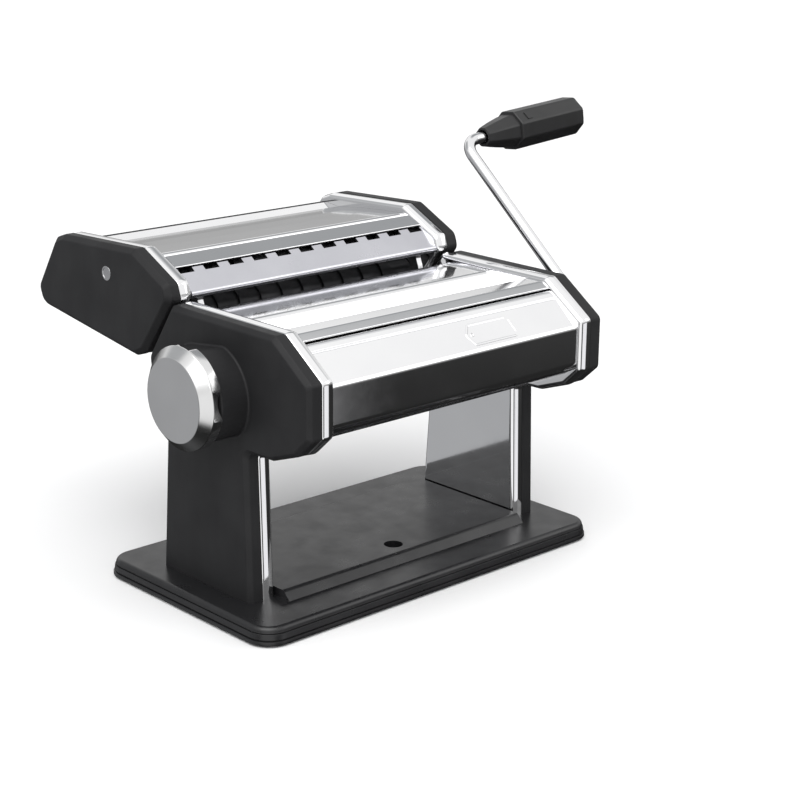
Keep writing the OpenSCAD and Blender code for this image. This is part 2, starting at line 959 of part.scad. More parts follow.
// thin bars under each cutter pair that peel the strips off
module cutter_combs() {
    color("#c4c7c9")
    union() {
        comb_bar(wide_a, wide_r, wide_turn - 50);
        comb_bar(wide_b, wide_r, wide_turn + 230);
        comb_bar(narrow_a, narrow_r, narrow_turn - 55);
        comb_bar(narrow_b, narrow_r, narrow_turn + 235);
    }
}

module comb_bar(p, r, angle) {
    q = p + (r + 0.5) * [cos(angle), sin(angle)];
    e = p + (r + 3.1) * [cos(angle), sin(angle)];
    side = 0.5 * [-sin(angle), cos(angle)];
    along_x(-in_x, in_x)
        polygon([q - side, e - side, e + side, q + side]);
}

// grooved roller: discs of the given pitch with grooves between them
module grooved_roller(p, r, core, n, shift, drive) {
    pitch = 2 * (in_x - 1.5) / (n + 0.5);
    disc = pitch / 2 - 0.12;
    x0 = -in_x + 1.5 + shift * pitch / 2;
    difference() {
        translate([0, p.x, p.y])
            rotate([0, 90, 0])
                rotate_extrude()
                    polygon(concat([[0, -in_x + 0.5], [core, -in_x + 0.5]],
                        [for (k = [0:n - 1]) each [[core, x0 + k * pitch],
                            [r, x0 + k * pitch], [r, x0 + k * pitch + disc],
                            [core, x0 + k * pitch + disc]]],
                        [[core, in_x - 0.5], [0, in_x - 0.5]]));
        bar(p, 2, -in_x, -in_x + 1);
    }
    bar(p, cut_stub_r, -stub_end_x, -in_x + 1);
    difference() {
        bar(p, cut_stub_r, in_x - 1, drive ? drive_end_x : gear_x0 + gear_t);
        if (drive)
            socket_space(p, drive_end_x);
    }
}

module wide_cutter_front() {
    color("#c9cccf")
    grooved_roller(wide_a, wide_r, wide_core, wide_n, 0, false);
}

module wide_cutter_rear() {
    color("#c9cccf")
    grooved_roller(wide_b, wide_r, wide_core, wide_n, 1, true);
}

module narrow_cutter_front() {
    color("#c9cccf")
    grooved_roller(narrow_a, narrow_r, narrow_core, narrow_n, 0, false);
}

module narrow_cutter_rear() {
    color("#c9cccf")
    grooved_roller(narrow_b, narrow_r, narrow_core, narrow_n, 1, true);
}

module wide_gear_front() {
    color("#8f9396")
    gear(wide_a, wide_c / teeth, wide_turn, 0.1, cut_stub_r);
}

module wide_gear_rear() {
    color("#8f9396")
    gear(wide_b, wide_c / teeth, wide_turn + 180 + 180 / teeth, 0.1, cut_stub_r);
}

module narrow_gear_front() {
    color("#8f9396")
    gear(narrow_a, narrow_c / teeth, narrow_turn, 0.1, cut_stub_r);
}

module narrow_gear_rear() {
    color("#8f9396")
    gear(narrow_b, narrow_c / teeth, narrow_turn + 180 + 180 / teeth, 0.1, cut_stub_r);
}

// ---- draw ----

base();
base_feet();
leg_screws();
side_plate_left();
side_plate_right();
end_cap_left();
end_cap_right();
front_cover();
front_badge();
rear_cover();
front_guard();
rear_guide();
tie_rods();
tie_rod_nuts();
front_scraper();
rear_scraper();
drive_bushes();
drive_roller();
drive_gear();
slide_bushes();
moving_roller();
moving_gear();
adjusting_shaft();
knob_body();
knob_cap();
knob_pin();
knob_screw();
crank_rod();
crank_grip();
grip_latch();
cutter_plate_left();
cutter_plate_right();
cutter_cap_left();
cutter_cap_right();
cutter_cap_disc();
cutter_rear_cover();
cutter_rear_guide();
cutter_mid_guide();
cutter_front_plate();
cutter_tie_rods();
cutter_nuts();
cutter_hooks();
cutter_bushes();
cutter_combs();
wide_cutter_front();
wide_cutter_rear();
wide_gear_front();
wide_gear_rear();
narrow_cutter_front();
narrow_cutter_rear();
narrow_gear_front();
narrow_gear_rear();
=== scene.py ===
import json
import math

import bmesh
import bpy
from mathutils import Matrix, Vector
from mathutils.geometry import tessellate_polygon


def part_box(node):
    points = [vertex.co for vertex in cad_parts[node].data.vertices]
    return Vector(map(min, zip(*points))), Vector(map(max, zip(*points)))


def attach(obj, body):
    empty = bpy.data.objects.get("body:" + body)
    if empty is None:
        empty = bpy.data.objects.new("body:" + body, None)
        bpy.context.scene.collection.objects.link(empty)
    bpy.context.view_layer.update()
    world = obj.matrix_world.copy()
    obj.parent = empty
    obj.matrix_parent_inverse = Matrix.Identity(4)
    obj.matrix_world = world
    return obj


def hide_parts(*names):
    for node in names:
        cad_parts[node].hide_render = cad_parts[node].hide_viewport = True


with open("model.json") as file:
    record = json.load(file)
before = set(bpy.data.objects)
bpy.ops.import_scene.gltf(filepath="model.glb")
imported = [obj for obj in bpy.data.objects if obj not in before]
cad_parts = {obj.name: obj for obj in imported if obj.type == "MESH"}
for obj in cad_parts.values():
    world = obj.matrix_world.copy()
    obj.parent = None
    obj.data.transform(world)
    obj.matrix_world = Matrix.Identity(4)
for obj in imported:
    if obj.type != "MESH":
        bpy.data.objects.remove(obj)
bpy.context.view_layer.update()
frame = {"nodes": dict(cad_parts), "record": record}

# Lengths are in millimetres until a mesh is made. +X is the crank side and -Y the front.
MM = 0.001
EX = Vector((1, 0, 0))
RECORD = frame["record"]
NODE_BODY = {n: b for b, nodes in RECORD["behaviour"]["bodies"].items() for n in nodes}
NODE_SLOT = {p["node"]: p["material_slot"] for p in RECORD["subparts"]}
JOINT = {j["name"]: j for j in RECORD["behaviour"]["joints"]}


# ---- outlines ----


def box_mm(node):
    lo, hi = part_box(node)
    return lo / MM, hi / MM


def signed_area(loop):
    return sum(a[0] * b[1] - b[0] * a[1] for a, b in zip(loop, loop[1:] + loop[:1])) / 2


def plane_loops(node, x, flat=0.02):
    """The (y, z) loops round a CAD node's faces in the plane at x.

    The largest comes first, and all run counter-clockwise.
    """
    mesh = frame["nodes"][node].data
    edges = set()
    for face in mesh.polygons:
        spots = [mesh.vertices[i].co / MM for i in face.vertices]
        if max(abs(p.x - x) for p in spots) < flat:
            ids = [(round(p.y, 2), round(p.z, 2)) for p in spots]
            edges.update((a, b) for a, b in zip(ids, ids[1:] + ids[:1]) if a != b)
    after = {a: b for a, b in sorted(edges) if (b, a) not in edges}
    loops = []
    while after:
        start = min(after)
        loop = [start]
        spot = after.pop(start)
        while spot != start:
            loop.append(spot)
            spot = after.pop(spot)
        loops.append(loop if signed_area(loop) > 0 else loop[::-1])
    return sorted(loops, key=lambda p: -abs(signed_area(p)))


def line_cross(a, b, c, d):
    """Where the line through a and b meets the line through c and d."""
    u = (b[0] - a[0], b[1] - a[1])
    v = (d[0] - c[0], d[1] - c[1])
    w = u[0] * v[1] - u[1] * v[0]
    t = ((c[0] - a[0]) * v[1] - (c[1] - a[1]) * v[0]) / w
    return (a[0] + t * u[0], a[1] + t * u[1])


def sharp_corners(loop, shortest=2.5):
    """The corners in which the long edges of a rounded loop would meet."""
    edges = list(zip(loop, loop[1:] + loop[:1]))
    long_edges = [(a, b) for a, b in edges if math.dist(a, b) > shortest]
    return [
        b if b == c else line_cross(a, b, c, d)
        for (a, b), (c, d) in zip(long_edges, long_edges[1:] + long_edges[:1])
    ]


def inset(poly, d, keep_bottom=False):
    """Moves every edge of a counter-clockwise polygon inwards by d; the bottom edge can stay."""
    bottom = min(p[1] for p in poly)
    moved = []
    for a, b in zip(poly, poly[1:] + poly[:1]):
        size = math.dist(a, b)
        step = 0 if keep_bottom and max(a[1], b[1]) < bottom + 0.01 else d
        n = ((a[1] - b[1]) / size * step, (b[0] - a[0]) / size * step)
        moved.append(((a[0] + n[0], a[1] + n[1]), (b[0] + n[0], b[1] + n[1])))
    return [line_cross(*e, *f) for e, f in zip(moved[-1:] + moved[:-1], moved)]


def rounded(poly, radius, n=6):
    """Rounds each corner of a polygon.

    The radius is one number, or a function of the turn, the two edge lengths and the corner.
    """
    out = []
    for a, p, b in zip(poly[-1:] + poly[:-1], poly, poly[1:] + poly[:1]):
        a, p, b = Vector(a), Vector(p), Vector(b)
        u, v = a - p, b - p
        turn = -u.x * v.y + u.y * v.x
        r = radius(turn > 0, u.length, v.length, p) if callable(radius) else radius
        bend = (math.pi - u.angle(v)) / 2
        cut = min(r * math.tan(bend), 0.49 * u.length, 0.49 * v.length)
        r = cut / math.tan(bend)
        u, v = u.normalized(), v.normalized()
        centre = p + (u + v).normalized() * r / math.cos(bend)
        s, e = p + u * cut - centre, p + v * cut - centre
        for k in range(n + 1):
            t = k / n
            w = (s * math.sin((1 - t) * 2 * bend) + e * math.sin(t * 2 * bend)) / math.sin(2 * bend)
            out.append(tuple(centre + w))
    return out


def circle(p, r, n=64):
    return [
        (p[0] + r * math.cos(2 * math.pi * k / n), p[1] + r * math.sin(2 * math.pi * k / n))
        for k in range(n)
    ]


def at_x(loop, x):
    return [(x, y, z) for y, z in loop]


def arc_steps(n):
    """Pairs (1 - cos, sin) over a quarter turn, for rounded edges."""
    return [
        (1 - math.cos(k * math.pi / 2 / n), math.sin(k * math.pi / 2 / n)) for k in range(n + 1)
    ]


# ---- meshes ----


class Shell:
    """Collects the faces of one closed piece."""

    def __init__(self):
        self.verts = []
        self.faces = []

    def ring(self, points):
        first = len(self.verts)
        self.verts += [tuple(p) for p in points]
        return list(range(first, len(self.verts)))

    def skin(self, rings):
        for a, b in zip(rings, rings[1:]):
            n = len(a)
            for k in range(n):
                self.faces.append((a[k], a[(k + 1) % n], b[(k + 1) % n], b[k]))

    def loft(self, loops):
        rings = [self.ring(p) for p in loops]
        self.skin(rings)
        return rings[0], rings[-1]

    def flat(self, outer, *holes):
        ids = [i for ring in (outer, *holes) for i in ring]
        spots = [[Vector(self.verts[i]) for i in ring] for ring in (outer, *holes)]
        self.faces += [tuple(ids[i] for i in tri) for tri in tessellate_polygon(spots)]

    def tube(self, loop, x0, x1):
        """Walls of a hole along X; returns its two rings."""
        return self.loft([at_x(loop, x0), at_x(loop, x1)])


def to_mesh(name, shell):
    mesh = bpy.data.meshes.new(name)
    mesh.from_pydata([Vector(v) * MM for v in shell.verts], [], shell.faces)
    bm = bmesh.new()
    bm.from_mesh(mesh)
    bmesh.ops.remove_doubles(bm, verts=bm.verts, dist=1e-7)
    bmesh.ops.dissolve_degenerate(bm, edges=bm.edges, dist=1e-7)
    bmesh.ops.recalc_face_normals(bm, faces=bm.faces)
    bm.to_mesh(mesh)
    bm.free()
    return mesh


def piece(name, shell, node, sharp=32):
    """Makes the mesh, and lets it ride on and stand for its CAD node."""
    mesh = to_mesh(name, shell)
    obj = bpy.data.objects.new(name, mesh)
    bpy.context.collection.objects.link(obj)
    for face in mesh.polygons:
        face.use_smooth = True
    mesh.set_sharp_from_angle(angle=math.radians(sharp))
    weighted = obj.modifiers.new("normals", "WEIGHTED_NORMAL")
    weighted.keep_sharp = True
    mesh.materials.append(MATERIAL[NODE_SLOT[node]])
    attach(obj, NODE_BODY[node])
    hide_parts(node)
    return obj


def mirrored(shell):
    shell.verts = [(-x, y, z) for x, y, z in shell.verts]
    return shell


# ---- materials ----


class Nodes:
    """Short calls for building one material."""

    def __init__(self, name):
        self.material = bpy.data.materials.new(name)
        self.material.use_nodes = True
        self.tree = self.material.node_tree
        self.shader = self.tree.nodes["Principled BSDF"]
        self.coords = self.add("ShaderNodeTexCoord").outputs["Object"]

    def add(self, kind, **values):
        node = self.tree.nodes.new(kind)
        for key, value in values.items():
            if hasattr(node, key):
                setattr(node, key, value)
            else:
                node.inputs[key.replace("_", " ")].default_value = value
        return node

    def link(self, a, b):
        self.tree.links.new(a, b)

    def noise(self, scale, detail=3.0, stretch=None, rough=0.5):
        spot = self.coords
        if stretch:
            mapping = self.add("ShaderNodeMapping")
            mapping.inputs["Scale"].default_value = stretch
            self.link(spot, mapping.inputs["Vector"])
            spot = mapping.outputs["Vector"]
        noise = self.add("ShaderNodeTexNoise", Scale=scale, Detail=detail, Roughness=rough)
        self.link(spot, noise.inputs["Vector"])
        return noise.outputs["Fac"]

    def spread(self, value, low, high, start=0.3, end=0.7):
        """Maps a 0 to 1 pattern onto low to high."""
        node = self.add("ShaderNodeMapRange")
        for key, number in (
            ("From Min", start),
            ("From Max", end),
            ("To Min", low),
            ("To Max", high),
        ):
            node.inputs[key].default_value = number
        self.link(value, node.inputs["Value"])
        return node.outputs["Result"]

    def mix(self, value, first, second):
        node = self.add("ShaderNodeMix", data_type="RGBA")
        node.inputs["A"].default_value = (*first, 1)
        node.inputs["B"].default_value = (*second, 1)
        self.link(value, node.inputs["Factor"])
        return node.outputs["Result"]

    def bump(self, value, strength, distance, under=None):
        node = self.add("ShaderNodeBump", Strength=strength, Distance=distance)
        self.link(value, node.inputs["Height"])
        if under:
            self.link(under, node.inputs["Normal"])
        return node.outputs["Normal"]


def plastic(name, dark, light, rough, grain, specular=0.5):
    """Black moulded plastic: fine grain, faint colour drift and handling marks in the gloss."""
    n = Nodes(name)
    n.link(n.mix(n.spread(n.noise(38), 0, 1), dark, light), n.shader.inputs["Base Color"])
    marks = n.spread(n.noise(90, 6, (1, 1, 0.35)), rough[0], rough[1])
    n.link(marks, n.shader.inputs["Roughness"])
    n.shader.inputs["Specular IOR Level"].default_value = specular
    fine = n.bump(n.noise(2600, 2), grain, 0.00004)
    n.link(n.bump(n.noise(60, 2), 0.06, 0.0004, fine), n.shader.inputs["Normal"])
    return n.material


def metal(name, dark, light, rough, scratch, stretch=(1, 1, 1), wave=0.02):
    """Bare or plated metal: faint tone drift, smudges in the gloss and hair scratches."""
    n = Nodes(name)
    n.shader.inputs["Metallic"].default_value = 1
    n.link(n.mix(n.spread(n.noise(22), 0, 1), dark, light), n.shader.inputs["Base Color"])
    smudge = n.spread(n.noise(48, 8, rough=0.62), rough[0], rough[1], 0.42, 0.75)
    n.link(smudge, n.shader.inputs["Roughness"])
    lines = n.bump(n.noise(900, 4, stretch), scratch, 0.00002)
    n.link(n.bump(n.noise(12, 1), wave, 0.0006, lines), n.shader.inputs["Normal"])
    return n.material


MATERIAL = {
    "cap_plastic": plastic(
        "cap_plastic", (0.014, 0.014, 0.015), (0.020, 0.020, 0.021), (0.46, 0.58), 0.22, 0.22
    ),
    "base_plastic": plastic(
        "base_plastic", (0.009, 0.009, 0.010), (0.015, 0.015, 0.016), (0.26, 0.36), 0.12
    ),
    "grip_plastic": plastic(
        "grip_plastic", (0.008, 0.008, 0.008), (0.014, 0.014, 0.015), (0.34, 0.44), 0.18
    ),
    "black_sheet": plastic(
        "black_sheet", (0.006, 0.006, 0.007), (0.011, 0.011, 0.012), (0.40, 0.50), 0.1, 0.2
    ),
    "rubber": plastic("rubber", (0.018, 0.018, 0.018), (0.03, 0.03, 0.03), (0.7, 0.85), 0.5, 0.3),
    "chrome_plate": metal(
        "chrome_plate", (0.88, 0.88, 0.89), (0.93, 0.93, 0.935), (0.06, 0.11), 0.05, (0.05, 1, 1)
    ),
    "satin_plate": metal(
        "satin_plate", (0.58, 0.58, 0.62), (0.66, 0.66, 0.70), (0.22, 0.30), 0.12, (0.05, 1, 1)
    ),
    "chrome_rod": metal(
        "chrome_rod", (0.82, 0.82, 0.83), (0.88, 0.88, 0.89), (0.05, 0.10), 0.04, (1, 0.1, 0.1)
    ),
    "knob_chrome": metal(
        "knob_chrome", (0.72, 0.72, 0.72), (0.80, 0.80, 0.80), (0.17, 0.26), 0.10, (1, 1, 1)
    ),
    "roller_metal": metal(
        "roller_metal", (0.66, 0.66, 0.67), (0.74, 0.74, 0.75), (0.24, 0.34), 0.2, (0.04, 1, 1)
    ),
    "steel": metal("steel", (0.52, 0.52, 0.53), (0.62, 0.62, 0.63), (0.2, 0.34), 0.15),
    # base colour set near black as painted shade: it stands for the shadow in the gap between the
    # cutter's roller discs, which are bright steel
    "gear_steel": metal(
        "gear_steel", (0.045, 0.045, 0.048), (0.09, 0.09, 0.094), (0.42, 0.58), 0.3
    ),
    "bush_metal": metal("bush_metal", (0.50, 0.36, 0.18), (0.62, 0.46, 0.24), (0.3, 0.45), 0.25),
}

for node_name, node in frame["nodes"].items():
    node.data.materials.clear()
    node.data.materials.append(MATERIAL[NODE_SLOT[node_name]])

# ---- measures taken from the CAD ----

IN_X = box_mm("side_plate_right")[0].x
RIM_X = box_mm("side_plate_right")[1].x
RIM_W = RIM_X - IN_X
CAP_X = box_mm("cutter_cap_right")[1].x
BOSS_X = -box_mm("end_cap_left")[0].x
DECK_Z = box_mm("side_plate_right")[0].z
BASE_LO, BASE_HI = box_mm("base")
DRIVE = (JOINT["drive_turn"]["pos_m"][1] / MM, JOINT["drive_turn"]["pos_m"][2] / MM)
SHAFT = (JOINT["thickness_turn"]["pos_m"][1] / MM, JOINT["thickness_turn"]["pos_m"][2] / MM)
SHAFT_R = 3.0
SHAFT_HUB_R = 6.6
ROD_R = 3.0

# sheet thickness of the side plates, and the rolled edge on their inner side
PLATE_T = 1.5
PLATE_ROLL = 2.3
# how far the middle of a polished rim stands proud of its two edges
RIM_CROWN = 0.35
# end caps: wall, bevel round the face, step down from the rim, extra width on the crank side
CAP_WALL = 2.0
BEVEL = 2.1
CAP_STEP = 0.4
RIGHT_OUT = 1.2

BODY_POLY = sharp_corners(plane_loops("side_plate_right", RIM_X)[0])
HEAD_POLY = sharp_corners(plane_loops("cutter_plate_right", RIM_X)[0])


def body_radius(convex, u, v, p):
    """Corners of the body outline; the two at the foot of the leg stay sharp."""
    if p.y < DECK_Z + 3:
        return 0.02
    return 3.0 if convex else 4.0


# ---- side plates and end caps ----


def body_ring(x, d):
    return at_x(rounded(inset(BODY_POLY, d, True), body_radius), x)


def head_ring(x, d):
    return at_x(rounded(inset(HEAD_POLY, d), 4.0), x)


def side_plate(ring, holes):
    """Web with a rim that stands outwards and is slightly crowned; its inner edge is rolled."""
    s = Shell()
    start = IN_X + PLATE_ROLL
    crown_x = [start + (RIM_W - PLATE_ROLL - 0.5) * k / 5 for k in range(1, 6)]
    front, back = s.loft(
        [
            *[
                ring(IN_X + PLATE_ROLL * a, RIM_CROWN + PLATE_ROLL * (1 - b))
                for a, b in arc_steps(6)
            ],
            *[ring(x, RIM_CROWN * (2 * (x - IN_X) / RIM_W - 1) ** 2) for x in crown_x],
            ring(RIM_X - 0.15, RIM_CROWN + 0.2),
            ring(RIM_X, RIM_CROWN + 0.5),
            ring(RIM_X, PLATE_T),
            ring(IN_X + PLATE_T + 1.2, PLATE_T + 0.2),
            ring(IN_X + PLATE_T, PLATE_T + 1.4),
        ]
    )
    tubes = [s.tube(h, IN_X, IN_X + PLATE_T) for h in holes]
    s.flat(front, *[t[0] for t in tubes])
    s.flat(back, *[t[1] for t in tubes])
    return s


def cap_outer(s, ring, bevel, step, out=0.0):
    """Outer skin of a cap from the rim to its face, with soft bevel corners.

    The skin is set in by step all round, and its face stands out by out.
    """
    steps = [(0.0, 0.55), (0.25, 0.12), (0.6, 0.0)]
    wall = CAP_X + out - RIM_X - bevel
    steps += [(wall - 0.5, 0.0), (wall - 0.1, 0.06), (wall + 0.3, 0.3)]
    steps += [(wall + bevel - 0.4, bevel - 0.4), (wall + bevel - 0.08, bevel + 0.02)]
    steps += [(wall + bevel, bevel + 0.5)]
    return s.loft([ring(RIM_X + x, d + step) for x, d in steps])


def cap_inner(s, ring, d):
    """Inner wall of a cap, inset by d, from the rim to the back of its face."""
    return s.loft([ring(RIM_X, d), ring(CAP_X - CAP_WALL, d)])


side_holes = {
    "right": plane_loops("side_plate_right", IN_X)[1:],
    "left": plane_loops("side_plate_left", -IN_X)[1:],
}
head_holes = plane_loops("cutter_plate_right", IN_X)[1:]
left_side = mirrored(side_plate(body_ring, side_holes["left"]))
piece("side_frame_right", side_plate(body_ring, side_holes["right"]), "side_plate_right")
piece("side_frame_left", left_side, "side_plate_left")
piece("head_frame_right", side_plate(head_ring, head_holes), "cutter_plate_right")
piece("head_frame_left", mirrored(side_plate(head_ring, head_holes)), "cutter_plate_left")


def left_cap():
    """Hollow cap with the flat-topped boss that carries the thickness knob."""
    s = Shell()
    rim, face = cap_outer(s, body_ring, BEVEL, CAP_STEP)
    rim_in, wall = cap_inner(s, body_ring, CAP_WALL + 0.6)
    s.flat(rim, rim_in)
    boss_top, *cuts = plane_loops("end_cap_left", -BOSS_X)
    groove, hole = sorted(cuts, key=lambda p: -abs(signed_area(p)))
    # fillet at the foot of the boss, rounded edge on its top, depth of the arc groove for the pin
    fillet, soft, groove_depth = 1.0, 0.9, 3.6

    def boss_ring(x, grow):
        return at_x(rounded(inset(boss_top, -grow), 9.0, 3), x)

    steps = [(fillet * a, fillet * (1 - b)) for a, b in arc_steps(6)]
    steps += [(BOSS_X - CAP_X - soft * (1 - b), -soft * a) for a, b in arc_steps(4)]
    foot, top = s.loft([boss_ring(CAP_X + x, grow) for x, grow in steps])
    s.flat(face, foot)
    bore = s.tube(hole, BOSS_X, CAP_X - CAP_WALL)
    slot = s.tube(groove, BOSS_X, BOSS_X - groove_depth)
    s.flat(slot[1])
    s.flat(top, bore[0], slot[0])
    s.flat(wall, bore[1])
    return mirrored(s)


def right_cap():
    """Hollow cap with a low collar round the crank socket and a pivot for the adjusting shaft."""
    s = Shell()
    rim, face = cap_outer(s, body_ring, BEVEL, CAP_STEP, RIGHT_OUT)
    rim_in, wall = cap_inner(s, body_ring, CAP_WALL + 0.6)
    s.flat(rim, rim_in)
    collar, bore_r, collar_h = 10.0, 6.6, 0.6
    face_x = CAP_X + RIGHT_OUT
    steps = [(0, collar + 0.8), (0.15, collar + 0.25), (0.5, collar), (collar_h, collar - 0.2)]
    foot, top = s.loft([at_x(circle(DRIVE, r), face_x + x) for x, r in steps])
    s.flat(face, foot)
    bore = s.tube(circle(DRIVE, bore_r), face_x + collar_h, CAP_X - CAP_WALL)
    s.flat(top, bore[0])
    pivot_r, pivot_x, pocket_x = 6, CAP_X - 3.4, CAP_X - 1.6
    pivot = s.tube(circle(SHAFT, pivot_r), CAP_X - CAP_WALL, pivot_x)
    pocket = s.tube(circle(SHAFT, SHAFT_R + 0.05), pivot_x, pocket_x)
    s.flat(pivot[1], pocket[0])
    s.flat(pocket[1])
    s.flat(wall, bore[1], pivot[0])
    return s


def head_cap(holes, out=0.0):
    """Hollow cap of the cutter head with its round holes."""
    s = Shell()
    rim, face = cap_outer(s, head_ring, BEVEL + 0.4, 0.0, out)
    rim_in, wall = cap_inner(s, head_ring, 1.7)
    s.flat(rim, rim_in)
    bores = [s.tube(h, CAP_X + out, CAP_X - CAP_WALL) for h in holes]
    s.flat(face, *[b[0] for b in bores])
    s.flat(wall, *[b[1] for b in bores])
    return s


piece("end_cap_shell_left", left_cap(), "end_cap_left")
piece("end_cap_shell_right", right_cap(), "end_cap_right")
cap_bores = plane_loops("cutter_cap_right", CAP_X)[1:]
piece("head_cap_right", head_cap(cap_bores, RIGHT_OUT), "cutter_cap_right")
disc_hole = plane_loops("cutter_cap_left", -CAP_X)[1:]
piece("head_cap_left", mirrored(head_cap(disc_hole)), "cutter_cap_left")


def head_disc():
    """Small flat disc with a shallow dish."""
    lo, hi = box_mm("cutter_cap_disc")
    mid = ((lo.y + hi.y) / 2, (lo.z + hi.z) / 2)
    r = (hi.y - lo.y) / 2
    s = Shell()
    steps = [(hi.x, r - 0.01), (lo.x + 0.25, r - 0.01), (lo.x + 0.08, r - 0.1), (lo.x, r - 0.35)]
    steps += [(lo.x, r - 0.9), (lo.x + 0.12, r - 1.0), (lo.x + 0.12, r - 1.3)]
    back, front = s.loft([at_x(circle(mid, rad), x) for x, rad in steps])
    s.flat(back)
    s.flat(front)
    return s


piece("head_disc", head_disc(), "cutter_cap_disc")


# ---- bent sheets ----


# the groove along the upper edge of the front panel: which way the panel faces, and sizes
LIP_FACING = (-0.63, 0.78)
LIP_AT, LIP_W, LIP_DEPTH = 2.9, 1.1, 0.9


def with_groove(profile, facing, at, width, depth):
    """Presses a V groove into the outermost long edge, at a distance from the edge's top."""
    facing = Vector(facing).normalized()
    edges = [e for e in zip(profile, profile[1:] + profile[:1]) if math.dist(*e) > 12]
    a, b = max(edges, key=lambda e: (Vector(e[0]) + Vector(e[1])).dot(facing))
    top, low = (a, b) if a[1] > b[1] else (b, a)
    along = (Vector(low) - Vector(top)).normalized()
    cut = [
        Vector(top) + along * (at - width / 2),
        Vector(top) + along * at - facing * depth,
        Vector(top) + along * (at + width / 2),
    ]
    k = profile.index(a) + 1
    return profile[:k] + [tuple(p) for p in (cut if top == a else cut[::-1])] + profile[k:]


def bent_sheet(node, fold, sheet_t=1.0):
    """The CAD sheet's profile with each fold rolled to the given radius."""
    lo, hi = box_mm(node)
    profile = plane_loops(node, hi.x)[0]
    if node == "front_cover":
        profile = with_groove(profile, LIP_FACING, LIP_AT, LIP_W, LIP_DEPTH)

    def radius(convex, u, v, p):
        if min(u, v) < 0.6:
            return 0.08
        if min(u, v) < sheet_t * 1.3:
            return sheet_t * 0.4
        return fold + sheet_t if convex else fold

    points = rounded(profile, radius)
    s = Shell()
    a, b = s.loft([at_x(points, lo.x), at_x(points, hi.x)])
    s.flat(a)
    s.flat(b)
    return s


for piece_name, node_name, fold_r in (
    ("front_panel", "front_cover", 2.0),
    ("back_panel", "rear_cover", 2.5),
    ("feed_guard_front", "front_guard", 1.6),
    ("feed_guide_rear", "rear_guide", 1.6),
    ("head_guide_rear", "cutter_rear_guide", 2.0),
    ("head_guide_mid", "cutter_mid_guide", 1.5),
    ("head_strip_rear", "cutter_rear_cover", 1.2),
):
    piece(piece_name, bent_sheet(node_name, fold_r), node_name)


def badge():
    """Blank tag with a raised border and a small eyelet in its pointed end."""
    mesh = frame["nodes"]["front_badge"].data
    up = max(mesh.polygons, key=lambda f: f.area * (f.normal.z > 0.1)).normal.copy()
    spots = [v.co / MM for v in mesh.vertices]
    height = max(p.dot(up) for p in spots)
    along = up.cross(EX).normalized()
    upper = [p for p in spots if p.dot(up) > height - 0.05]
    top = {(round(p.x, 2), round(p.dot(along), 2)) for p in upper}
    mid = sum((Vector(p) for p in top), Vector((0, 0))) / len(top)
    outline = sorted(top, key=lambda p: math.atan2(p[1] - mid.y, p[0] - mid.x))
    thick, border, recess = 0.25, 0.9, 0.14

    def ring(loop, drop):
        return [EX * u + along * v + up * (height - drop) for u, v in loop]

    def edge(d, drop):
        return ring(rounded(inset(outline, d), 0.8, 4), drop)

    s = Shell()
    back, face = s.loft(
        [
            edge(0.02, thick),
            edge(0, 0.08),
            edge(0.08, 0),
            edge(border, 0),
            edge(border + 0.25, recess),
        ]
    )
    eyelet = (min(p[0] for p in top) + 3.6, mid.y)
    steps = [(1.15, recess), (1.0, 0.02), (0.75, 0.02), (0.6, recess + 0.06)]
    foot, floor_ring = s.loft([ring(circle(eyelet, r, 28), drop) for r, drop in steps])
    s.flat(back)
    s.flat(face, foot)
    s.flat(floor_ring)
    return s


piece("badge_plate", badge(), "front_badge", 20)


def comb_plate():
    """Sloping front plate of the head: notched along its back edge, rolled along its front."""
    lo, hi = box_mm("cutter_front_plate")
    spots = [v.co / MM for v in frame["nodes"]["cutter_front_plate"].data.vertices]
    corners = {(round(p.x, 2), round(p.y, 2), round(p.z, 2)) for p in spots}
    loop = plane_loops("cutter_front_plate", hi.x)[0]
    edges = [e for e in zip(loop, loop[1:] + loop[:1]) if math.dist(*e) > 4]
    top = max(edges, key=lambda e: e[0][1] + e[1][1])
    back = Vector(max(top))
    along = (back - Vector(min(top))).normalized()
    up = Vector((-along.y, along.x))
    thick = 1.2
    # radius of the rolled front edge of the CAD plate; here the roll meets the top face smoothly
    cad_roll = 1.7
    centre = Vector((lo.y + cad_roll, lo.z + cad_roll))
    roll = (back - centre).dot(up)
    # the X places of the notch walls and the two ends, and how deep the notches are cut
    stations = sorted({x for x, y, z in corners if math.dist((y, z), back) < 0.05})
    wall = [Vector((y, z)) for x, y, z in corners if abs(x - stations[1]) < 0.05]
    root_gap = max((back - p).dot(along) for p in wall if (back - p).dot(up) < 0.05)
    root = back - along * root_gap

    start = math.atan2(up.y, up.x)
    under = roll - thick
    stop = along * math.sqrt(roll**2 - under**2) + up * under
    sweep = (math.atan2(stop.y, stop.x) - start) % (2 * math.pi)
    angles = [start + sweep * k / 28 for k in range(29)]
    arc = [centre + roll * Vector((math.cos(a), math.sin(a))) for a in angles]
    profile = [root, *arc, root - up * thick]
    s = Shell()
    rings = [s.ring(at_x(profile, x)) for x in stations]
    tips = [s.ring(at_x([back, back - up * thick], x)) for x in stations]
    # spans with an even number are teeth, the others are notches
    for k in range(len(stations) - 1):
        a, b = rings[k], rings[k + 1]
        for i in range(len(profile) - 1):
            s.faces.append((a[i], a[i + 1], b[i + 1], b[i]))
        if k % 2:
            s.faces.append((a[-1], a[0], b[0], b[-1]))
            continue
        (p, q), (v, w) = tips[k], tips[k + 1]
        s.faces += [(a[0], p, v, b[0]), (p, q, w, v), (q, a[-1], b[-1], w)]
        if k > 0:
            s.faces.append((a[0], p, q, a[-1]))
        if k + 2 < len(stations):
            s.faces.append((b[0], v, w, b[-1]))
    for ring, (p, q) in ((rings[0], tips[0]), (rings[-1], tips[-1])):
        s.flat([*ring, q, p])
    return s


